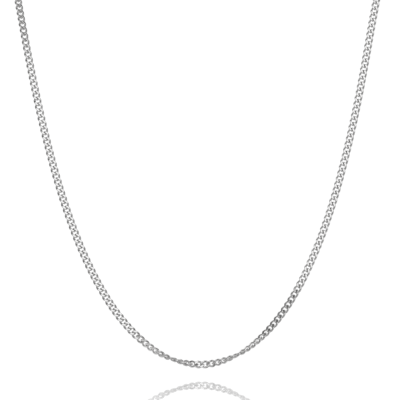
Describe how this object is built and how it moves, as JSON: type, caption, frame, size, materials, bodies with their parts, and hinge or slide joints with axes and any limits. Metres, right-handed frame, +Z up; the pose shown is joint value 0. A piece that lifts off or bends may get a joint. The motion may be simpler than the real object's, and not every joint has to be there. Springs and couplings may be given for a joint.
{
  "type": "curb chain necklace",
  "caption": "Fine curb chain necklace of twisted oval links, hanging closed in a long open loop, with a plain ring clasp at the nape.",
  "frame": {"origin": "middle of the closure at the nape, on the plane that the closure's inner side touches, where the necklace hangs on the back of the neck", "axes": "+Z up, -Y towards the front of the necklace, +X to the right as seen from the front"},
  "size_m": [0.1193, 0.0985, 0.1421],
  "materials": {
    "chain": "polished silver, bright, with soft wear on the crowns of the links",
    "clasp": "polished silver",
    "clasp_ring": "polished silver wire",
    "end_ring": "polished silver wire"
  },
  "bodies": {
    "root": {"chain": "chain", "clasp": "clasp", "clasp_ring": "clasp_ring", "end_ring": "end_ring"}
  },
  "joints": []
}
